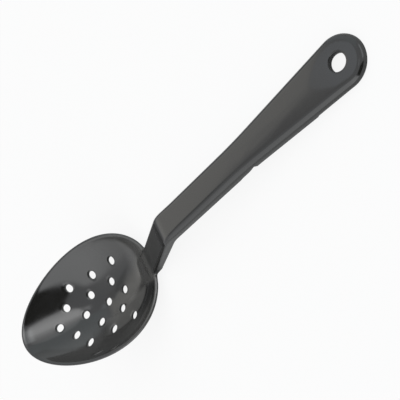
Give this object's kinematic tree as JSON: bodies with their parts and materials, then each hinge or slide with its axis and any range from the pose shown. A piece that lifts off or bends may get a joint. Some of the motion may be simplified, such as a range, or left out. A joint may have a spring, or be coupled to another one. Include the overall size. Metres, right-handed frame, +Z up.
{
  "type": "perforated serving spoon",
  "caption": "Long one-piece moulded serving spoon with a deep egg-shaped bowl drained by round holes, a cranked neck, a notched channel handle and a flat hanging end.",
  "frame": {"origin": "middle of the bounding box, at the table that the spoon lies on", "axes": "+X along the spoon from the bowl's tip to the hanging end, +Y across it, +Z up from the table"},
  "size_m": [0.2762, 0.0722, 0.0528],
  "materials": {
    "plastic": "black polycarbonate, polished from the mould, faintly scuffed"
  },
  "bodies": {
    "root": {"bowl": "plastic", "neck": "plastic", "handle": "plastic", "hanging_end": "plastic"}
  },
  "joints": []
}
